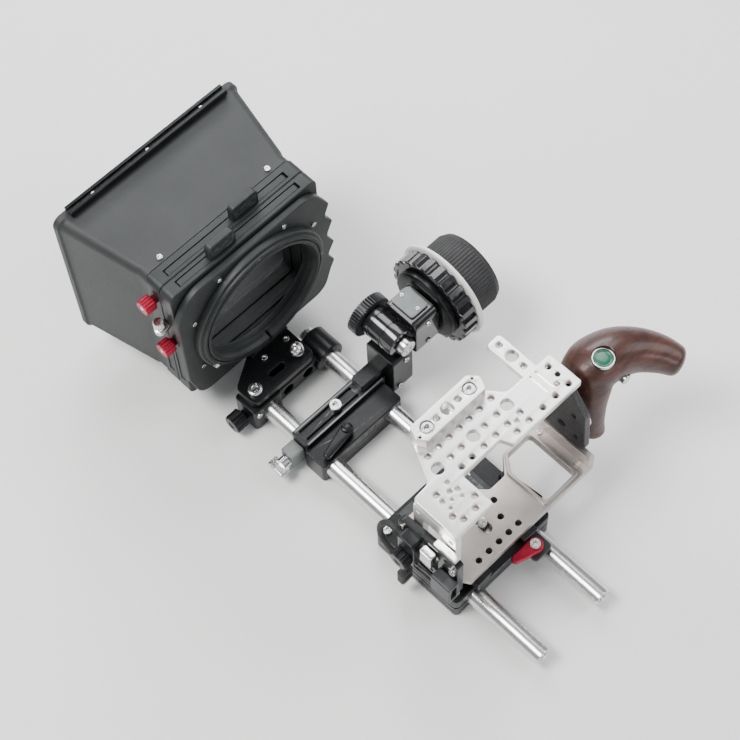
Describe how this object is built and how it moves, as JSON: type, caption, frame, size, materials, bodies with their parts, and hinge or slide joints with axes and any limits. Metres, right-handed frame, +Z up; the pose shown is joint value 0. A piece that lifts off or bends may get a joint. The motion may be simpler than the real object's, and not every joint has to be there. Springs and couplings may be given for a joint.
{
  "type": "cinema camera rig",
  "caption": "Camera cage on a rod baseplate, with a wooden side grip, video cable clamp, follow focus handwheel and a swing-away matte box carried at the front of the rods.",
  "frame": {"origin": "middle of the baseplate's foot, on the surface the rig stands on", "axes": "+Y along the rods towards the lens, +Z up, +X to the camera's right, where the grip is"},
  "size_m": [0.2635, 0.418, 0.18],
  "materials": {
    "satin_rod": "satin",
    "satin_cage": "satin, finely brushed",
    "satin_floor": "satin",
    "steel": "bright",
    "black_anodised": "black anodised, satin",
    "dark_grey": "dark grey anodised",
    "grey_cover": "grey, satin",
    "gloss_black": "glossy, moulded",
    "wrinkle_paint": "black wrinkle paint",
    "white_disc": "plain white",
    "black_rubber": "matt",
    "red_anodised": "red anodised",
    "dark_wood": "oiled, carved",
    "green_badge": "plain, with a bright rim",
    "matte_box_black": "black, matt",
    "hood_black": "black, matt"
  },
  "bodies": {
    "base": {"baseplate_body": "black_anodised", "quick_release_receiver": "dark_grey", "quick_release_lever_pin": "steel"},
    "rods": {"rod_left": "satin_rod", "rod_right": "satin_rod"},
    "rod_lever_left": {"rod_clamp_lever_left": "black_anodised"},
    "rod_lever_right": {"rod_clamp_lever_right": "black_anodised"},
    "release_lever": {"quick_release_lever": "red_anodised"},
    "cage": {"quick_release_plate": "dark_grey", "cage_floor_plate": "satin_floor", "cage_roof_plate": "satin_cage", "cage_top_rail": "satin_cage", "top_rail_screw_left": "steel", "top_rail_screw_right": "steel", "cage_front_arm": "satin_cage", "cage_left_wall": "satin_cage", "grip_bracket": "wrinkle_paint", "bracket_rosette": "steel", "cable_clamp_base": "black_anodised", "cable_strain_relief": "black_rubber", "video_port_block": "dark_grey", "video_cable": "black_rubber", "video_plug": "black_rubber"},
    "camera_screw_body": {"camera_screw": "steel"},
    "grip": {"grip_wood": "dark_wood", "grip_badge": "green_badge", "grip_rosette": "steel", "grip_bolt": "steel"},
    "button": {"run_button": "steel"},
    "cable_jaw": {"cable_clamp_jaw": "steel"},
    "cable_knob": {"cable_clamp_knob": "black_anodised"},
    "focus_base": {"focus_bracket": "black_anodised", "focus_bridge_bolt": "steel", "focus_clamp_jaw": "dark_grey"},
    "focus_lever": {"focus_lock_lever": "black_anodised"},
    "focus_thumb": {"focus_thumb_screw": "steel"},
    "focus_head": {"focus_carriage": "black_anodised", "focus_gearbox": "black_anodised", "focus_gearbox_cover": "grey_cover"},
    "handwheel": {"handwheel_hub": "black_anodised", "handwheel_ring": "gloss_black", "marking_disc": "white_disc", "handwheel_knob": "black_rubber"},
    "drive": {"drive_gear": "dark_grey", "drive_spindle": "steel"},
    "matte_base": {"matte_box_bracket": "black_anodised", "swing_arm_pin": "steel"},
    "matte_knob": {"matte_box_clamp_knob": "black_anodised"},
    "matte_swing": {"swing_arm": "black_anodised", "matte_box_backplate": "matte_box_black", "matte_box_lens_ring": "matte_box_black", "filter_stage_housing": "matte_box_black", "matte_box_hood": "hood_black", "flag_rail": "black_anodised", "stage_side_screw": "steel"},
    "latch": {"swing_latch_pin": "steel"},
    "tray_rear": {"filter_tray_rear": "matte_box_black"},
    "tray_front": {"filter_tray_front": "matte_box_black"},
    "lock_rear": {"filter_lock_knob_rear": "red_anodised"},
    "lock_front": {"filter_lock_knob_front": "red_anodised"}
  },
  "joints": [
    {"name": "rods_slide", "type": "slide", "parent": "base", "child": "rods", "axis": [0, 1, 0], "range_m": [-0.01, 0.03]},
    {"name": "rod_clamp_left_turn", "type": "hinge", "parent": "base", "child": "rod_lever_left", "pos_m": [-0.043, 0, 0.03], "axis": [0, 0, -1], "range_deg": [0, 25]},
    {"name": "rod_clamp_right_turn", "type": "hinge", "parent": "base", "child": "rod_lever_right", "pos_m": [0.043, 0, 0.03], "axis": [0, 0, 1], "range_deg": [0, 90]},
    {"name": "quick_release_turn", "type": "hinge", "parent": "base", "child": "release_lever", "pos_m": [0.02, -0.05, 0.031], "axis": [0, 0, 1], "range_deg": [0, 90]},
    {"name": "cage_slide", "type": "slide", "parent": "base", "child": "cage", "axis": [0, 1, 0], "range_m": [-0.004, 0.015]},
    {"name": "camera_screw_turn", "type": "hinge", "parent": "cage", "child": "camera_screw_body", "pos_m": [0.0014, -0.017, 0.045], "axis": [0, 0, 1], "continuous": true},
    {"name": "grip_turn", "type": "hinge", "parent": "cage", "child": "grip", "pos_m": [0.1006, -0.011, 0.073], "axis": [1, 0, 0], "range_deg": [-90, 90]},
    {"name": "run_button_press", "type": "slide", "parent": "grip", "child": "button", "axis": [0, 1, 0], "range_m": [0, 0.0015], "stiffness_N_per_m": 400},
    {"name": "cable_jaw_slide", "type": "slide", "parent": "cage", "child": "cable_jaw", "axis": [0, 0, 1], "range_m": [0, 0.006]},
    {"name": "cable_knob_turn", "type": "hinge", "parent": "cage", "child": "cable_knob", "pos_m": [-0.0616, -0.0045, 0.078], "axis": [1, 0, 0], "continuous": true},
    {"name": "focus_slide", "type": "slide", "parent": "rods", "child": "focus_base", "axis": [0, 1, 0], "range_m": [-0.03, 0.01]},
    {"name": "focus_lock_turn", "type": "hinge", "parent": "focus_base", "child": "focus_lever", "pos_m": [-0.008, 0.109, 0.028], "axis": [0, 0, 1], "range_deg": [0, 75]},
    {"name": "focus_thumb_turn", "type": "hinge", "parent": "focus_base", "child": "focus_thumb", "pos_m": [-0.0503, 0.128, 0.013], "axis": [1, 0, 0], "continuous": true},
    {"name": "focus_head_slide", "type": "slide", "parent": "focus_base", "child": "focus_head", "axis": [1, 0, 0], "range_m": [0, 0.015]},
    {"name": "handwheel_turn", "type": "hinge", "parent": "focus_head", "child": "handwheel", "pos_m": [0.0903, 0.127, 0.063], "axis": [1, 0, 0], "range_deg": [-150, 150]},
    {"name": "drive_turn", "type": "hinge", "parent": "focus_head", "child": "drive", "pos_m": [0.057, 0.127, 0.063], "axis": [0, 1, 0], "range_deg": [-180, 180]},
    {"name": "matte_slide", "type": "slide", "parent": "rods", "child": "matte_base", "axis": [0, 1, 0], "range_m": [-0.008, 0.004]},
    {"name": "matte_clamp_turn", "type": "hinge", "parent": "matte_base", "child": "matte_knob", "pos_m": [-0.0463, 0.177, 0.013], "axis": [1, 0, 0], "continuous": true},
    {"name": "swing_turn", "type": "hinge", "parent": "matte_base", "child": "matte_swing", "pos_m": [-0.034, 0.177, 0.03], "axis": [0, 0, 1], "range_deg": [0, 90]},
    {"name": "latch_pull", "type": "slide", "parent": "matte_swing", "child": "latch", "axis": [0, 0, 1], "range_m": [0, 0.004], "stiffness_N_per_m": 300},
    {"name": "tray_rear_slide", "type": "slide", "parent": "matte_swing", "child": "tray_rear", "axis": [0, 0, 1], "range_m": [0, 0.11]},
    {"name": "tray_front_slide", "type": "slide", "parent": "matte_swing", "child": "tray_front", "axis": [0, 0, 1], "range_m": [0, 0.11]},
    {"name": "lock_rear_turn", "type": "hinge", "parent": "matte_swing", "child": "lock_rear", "pos_m": [-0.0683, 0.215, 0.104], "axis": [1, 0, 0], "range_deg": [0, 180]},
    {"name": "lock_front_turn", "type": "hinge", "parent": "matte_swing", "child": "lock_front", "pos_m": [-0.0683, 0.227, 0.148], "axis": [1, 0, 0], "range_deg": [0, 180]}
  ],
  "couplings": [
    {"joint": "drive_turn", "follows": "handwheel_turn", "ratio": 1.2}
  ]
}
